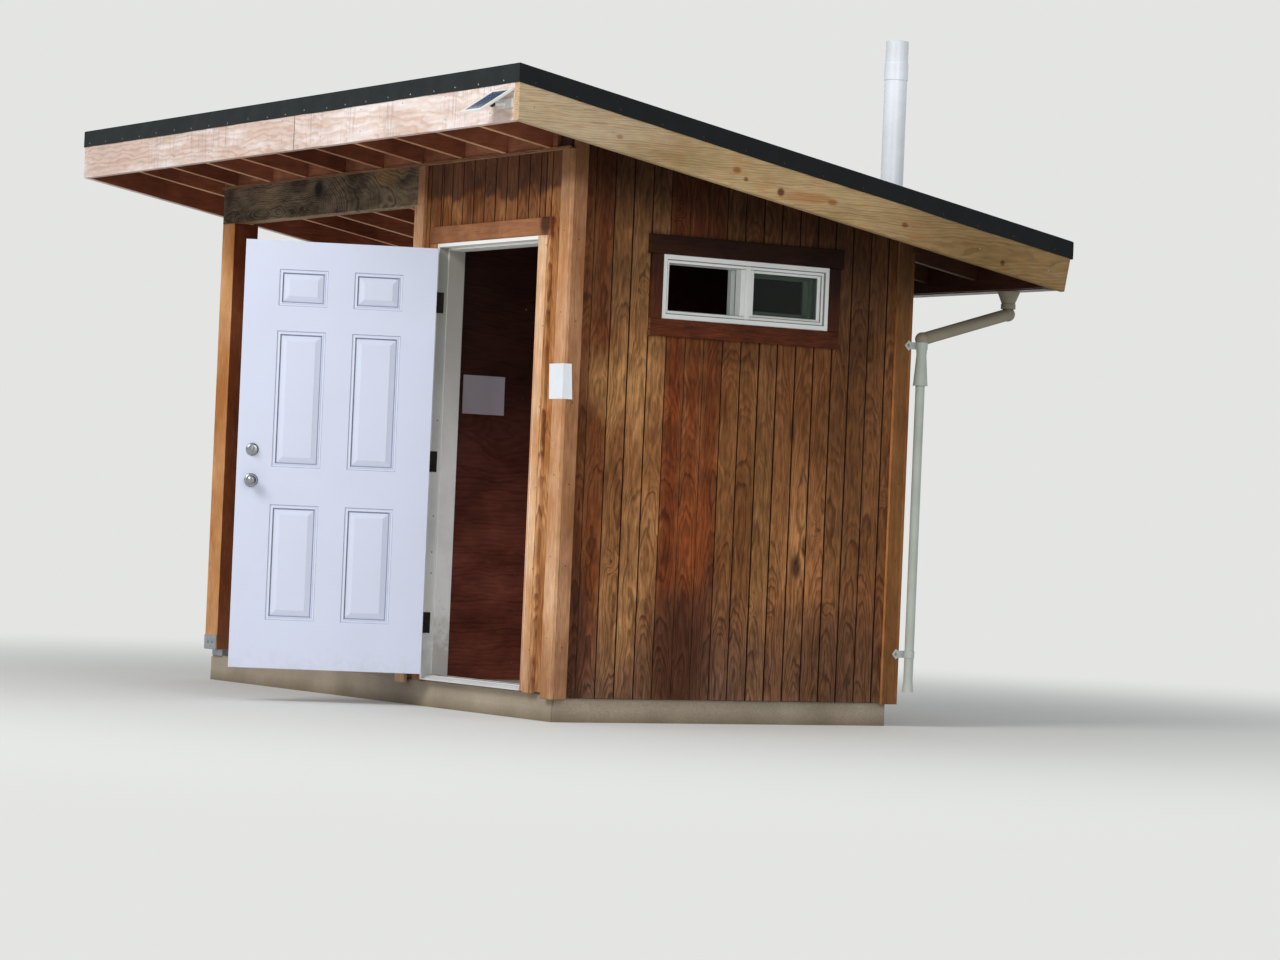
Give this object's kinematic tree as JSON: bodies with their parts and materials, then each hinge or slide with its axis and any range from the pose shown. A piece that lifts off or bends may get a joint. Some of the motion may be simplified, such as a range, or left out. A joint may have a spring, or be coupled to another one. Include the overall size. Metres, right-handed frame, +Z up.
{
  "type": "wooden outhouse",
  "caption": "Single-pitch wooden hut with a closed room behind an outward door, an open bay beside it, a slab, posts, rafters, gutter and vent pipe.",
  "frame": {"origin": "centre of the building's plan on the underside of the slab", "axes": "+X to the right along the front, +Y to the back, +Z up"},
  "size_m": [4.611, 3.4762, 3.318],
  "materials": {
    "slab": "rough concrete",
    "front_wall_left": "oiled and weathered",
    "front_wall_right": "oiled and weathered",
    "front_wall_over_door": "oiled and weathered",
    "right_wall": "oiled and weathered",
    "back_wall": "oiled and weathered",
    "partition_wall": "oiled and weathered",
    "front_right_corner_trim": "oiled and weathered",
    "back_right_corner_trim": "oiled and weathered",
    "front_left_corner_trim": "oiled and weathered",
    "back_left_corner_trim": "oiled and weathered",
    "front_frieze": "oiled and weathered",
    "door_frame": "satin white",
    "threshold": "mill",
    "door_casing": "oiled and weathered",
    "frame_hinges": "dark bronze",
    "door_leaf": "satin white",
    "leaf_hinges": "dark bronze",
    "door_knob": "satin",
    "deadbolt": "satin",
    "window_frame": "white",
    "window_sash": "white",
    "window_glass": "clear",
    "window_trim": "oiled and weathered",
    "front_post": "oiled and weathered",
    "back_post": "oiled and weathered",
    "post_bases": "galvanised",
    "front_header_beam": "oiled and weathered",
    "back_header_beam": "oiled and weathered",
    "rafters": "oiled and weathered",
    "rafter_blocking": "oiled and weathered",
    "front_fascia": "oiled and weathered",
    "back_fascia": "oiled and weathered",
    "left_rake_board": "oiled and weathered",
    "right_rake_board": "oiled and weathered",
    "roof_deck": "oiled and weathered",
    "roof_covering": "mineral surface",
    "roof_edge_trim": "semi-gloss",
    "vent_pipe": "white",
    "vent_flashing": "matt",
    "gutter": "white",
    "outlet_pipe": "weathered",
    "downspout": "white",
    "pipe_straps": "white",
    "solar_panel": "cells under a pale frame",
    "solar_bracket": "white"
  },
  "bodies": {
    "building": {"slab": "slab", "front_wall_left": "front_wall_left", "front_wall_right": "front_wall_right", "front_wall_over_door": "front_wall_over_door", "right_wall": "right_wall", "back_wall": "back_wall", "partition_wall": "partition_wall", "front_right_corner_trim": "front_right_corner_trim", "back_right_corner_trim": "back_right_corner_trim", "front_left_corner_trim": "front_left_corner_trim", "back_left_corner_trim": "back_left_corner_trim", "front_frieze": "front_frieze", "door_frame": "door_frame", "threshold": "threshold", "door_casing": "door_casing", "frame_hinges": "frame_hinges", "window_frame": "window_frame", "window_sash": "window_sash", "window_glass": "window_glass", "window_trim": "window_trim", "front_post": "front_post", "back_post": "back_post", "post_bases": "post_bases", "front_header_beam": "front_header_beam", "back_header_beam": "back_header_beam", "rafters": "rafters", "rafter_blocking": "rafter_blocking", "front_fascia": "front_fascia", "back_fascia": "back_fascia", "left_rake_board": "left_rake_board", "right_rake_board": "right_rake_board", "roof_deck": "roof_deck", "roof_covering": "roof_covering", "roof_edge_trim": "roof_edge_trim", "vent_pipe": "vent_pipe", "vent_flashing": "vent_flashing", "gutter": "gutter", "outlet_pipe": "outlet_pipe", "downspout": "downspout", "pipe_straps": "pipe_straps", "solar_panel": "solar_panel", "solar_bracket": "solar_bracket"},
    "door": {"door_leaf": "door_leaf", "leaf_hinges": "leaf_hinges", "door_knob": "door_knob", "deadbolt": "deadbolt"}
  },
  "joints": [
    {"name": "door_hinge", "type": "hinge", "parent": "building", "child": "door", "pos_m": [0.5915, -0.977, 1.173], "axis": [0, 0, 1], "range_deg": [-50, 115]}
  ]
}
